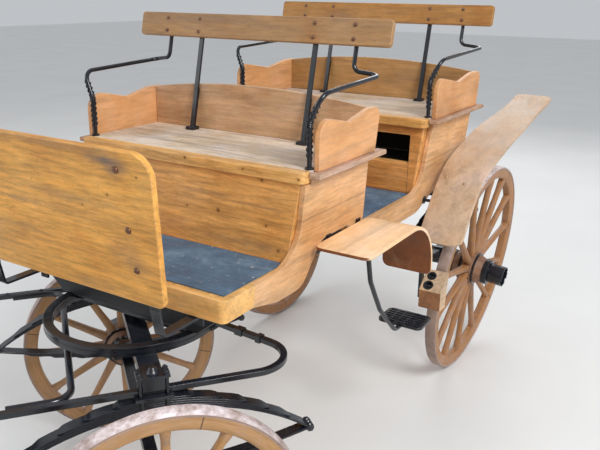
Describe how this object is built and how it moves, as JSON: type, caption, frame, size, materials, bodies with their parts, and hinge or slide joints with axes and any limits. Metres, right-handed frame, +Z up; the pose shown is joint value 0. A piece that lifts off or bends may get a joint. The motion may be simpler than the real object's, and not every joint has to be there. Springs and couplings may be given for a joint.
{
  "type": "horse drawn carriage",
  "caption": "Open horse drawn carriage with two varnished wood benches, wooden spoked wheels and black iron springs.",
  "frame": {"origin": "on the ground, under the middle of the overall length and width", "axes": "+X to the carriage's left, +Y to its rear, +Z up"},
  "size_m": [1.5496, 3.3258, 1.7951],
  "materials": {
    "varnished_wood": "satin",
    "weathered_wood": "matte",
    "wheel_wood": "satin",
    "dark_wood": "satin",
    "floor_rubber": "matte",
    "black_iron": "satin",
    "tyre_iron": "matte"
  },
  "bodies": {
    "carriage": {"floor_boards": "varnished_wood", "floor_mats": "floor_rubber", "front_curb": "varnished_wood", "side_board_left": "varnished_wood", "side_board_right": "varnished_wood", "front_seat_box": "varnished_wood", "rear_seat_box": "varnished_wood", "seat_boards": "weathered_wood", "seat_rails": "varnished_wood", "arm_panels": "varnished_wood", "arm_ledges": "weathered_wood", "low_backs": "varnished_wood", "backrest_boards": "varnished_wood", "backrest_posts": "black_iron", "arm_irons": "black_iron", "dash_board": "varnished_wood", "dash_irons": "black_iron", "step_wings": "varnished_wood", "wing_irons": "black_iron", "steps": "black_iron", "rear_fenders": "varnished_wood", "fender_irons": "black_iron", "underframe": "dark_wood", "turntable_ring": "black_iron", "rear_axle": "black_iron", "rear_springs": "black_iron", "rear_spring_bar": "dark_wood", "brake_gear": "black_iron", "brake_blocks": "varnished_wood"},
    "front_gear": {"front_axle": "black_iron", "front_springs": "black_iron", "futchell_bars": "black_iron", "turntable_bolster": "black_iron", "hoop_stay": "black_iron", "splinter_bar": "dark_wood", "pole_socket": "black_iron"},
    "front_left_wheel": {"front_left_wheel": "wheel_wood", "front_left_tyre": "tyre_iron", "front_left_hub": "black_iron"},
    "front_right_wheel": {"front_right_wheel": "wheel_wood", "front_right_tyre": "tyre_iron", "front_right_hub": "black_iron"},
    "rear_left_wheel": {"rear_left_wheel": "wheel_wood", "rear_left_tyre": "tyre_iron", "rear_left_hub": "black_iron"},
    "rear_right_wheel": {"rear_right_wheel": "wheel_wood", "rear_right_tyre": "tyre_iron", "rear_right_hub": "black_iron"}
  },
  "joints": [
    {"name": "front_steering", "type": "hinge", "parent": "carriage", "child": "front_gear", "pos_m": [0, -0.897, 0.78574], "axis": [0, 0, 1], "range_deg": [-41.6, 118.4]},
    {"name": "front_left_spin", "type": "hinge", "parent": "front_gear", "child": "front_left_wheel", "pos_m": [0.47257, -1.27155, 0.40076], "axis": [0.7826, -0.6203, -0.0523], "continuous": true},
    {"name": "front_right_spin", "type": "hinge", "parent": "front_gear", "child": "front_right_wheel", "pos_m": [-0.47257, -0.52245, 0.40076], "axis": [0.7826, -0.6203, 0.0523], "continuous": true},
    {"name": "rear_left_spin", "type": "hinge", "parent": "carriage", "child": "rear_left_wheel", "pos_m": [0.603, 0.858, 0.52474], "axis": [0.9945, 0, -0.1045], "continuous": true},
    {"name": "rear_right_spin", "type": "hinge", "parent": "carriage", "child": "rear_right_wheel", "pos_m": [-0.603, 0.858, 0.52474], "axis": [0.9945, 0, 0.1045], "continuous": true}
  ]
}
